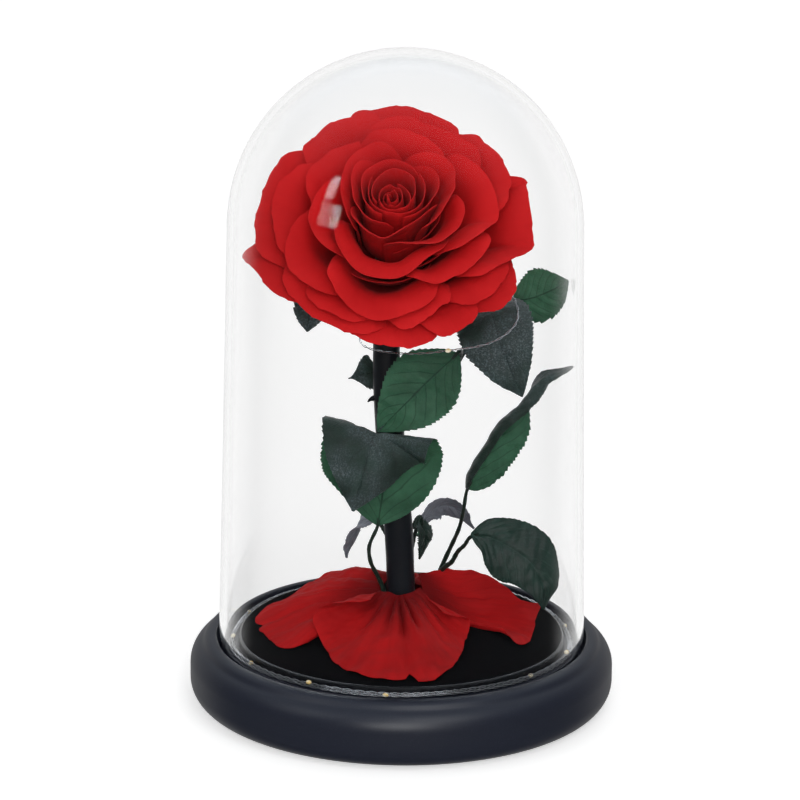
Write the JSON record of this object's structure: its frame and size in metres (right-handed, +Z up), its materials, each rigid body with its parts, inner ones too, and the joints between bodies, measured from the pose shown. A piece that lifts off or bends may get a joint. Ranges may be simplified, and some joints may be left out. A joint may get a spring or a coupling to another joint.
{
  "type": "preserved rose in glass dome",
  "caption": "Preserved red rose on a dark stem with leaves, standing under a clear glass dome on a round dark base, with a fine silver wire of small lights.",
  "frame": {"origin": "middle of the base's underside", "axes": "+Z up, -Y towards the front, the side that the bloom faces, +X to the right seen from the front"},
  "size_m": [0.14, 0.14, 0.2222],
  "materials": {
    "base": "satin charcoal lacquer",
    "door": "fine moulded grain",
    "disc": "matte black top with a glossy edge",
    "glass": "clear blown glass",
    "stem": "smooth satin black",
    "petals": "velvety preserved petal",
    "leaves": "preserved leaf, glossy above and matte below",
    "wire": "bare silvered wire"
  },
  "bodies": {
    "root": {"base": "base", "battery_door": "door", "display_disc": "disc", "glass_dome": "glass", "stem": "stem", "bloom_core": "petals", "petal_bud_1": "petals", "petal_bud_2": "petals", "petal_bud_3": "petals", "petal_bud_4": "petals", "petal_bud_5": "petals", "petal_cup_1": "petals", "petal_cup_2": "petals", "petal_cup_3": "petals", "petal_cup_4": "petals", "petal_heart_1": "petals", "petal_heart_2": "petals", "petal_heart_3": "petals", "petal_heart_4": "petals", "petal_heart_5": "petals", "petal_heart_6": "petals", "petal_heart_7": "petals", "petal_middle_1": "petals", "petal_middle_2": "petals", "petal_middle_3": "petals", "petal_middle_4": "petals", "petal_middle_5": "petals", "petal_outer_1": "petals", "petal_outer_2": "petals", "petal_outer_3": "petals", "petal_outer_4": "petals", "petal_outer_5": "petals", "petal_guard_1": "petals", "petal_guard_2": "petals", "petal_guard_3": "petals", "petal_guard_4": "petals", "petal_guard_5": "petals", "petal_guard_6": "petals", "petal_guard_7": "petals", "petal_guard_8": "petals", "petal_guard_9": "petals", "petal_guard_10": "petals", "foot_petal_front": "petals", "foot_petal_left": "petals", "foot_petal_right": "petals", "foot_petal_back": "petals", "calyx": "leaves", "leaf_upper_right": "leaves", "leaf_hanging": "leaves", "leaf_centre": "leaves", "leaf_thorn_side": "leaves", "leaf_folded": "leaves", "leaf_slender": "leaves", "leaf_lower_right": "leaves", "leaf_arched": "leaves", "leaf_behind_left": "leaves", "leaf_behind_right": "leaves", "leaf_under_bloom": "leaves", "light_wire_ring": "wire", "light_wire_riser": "wire"}
  },
  "joints": []
}
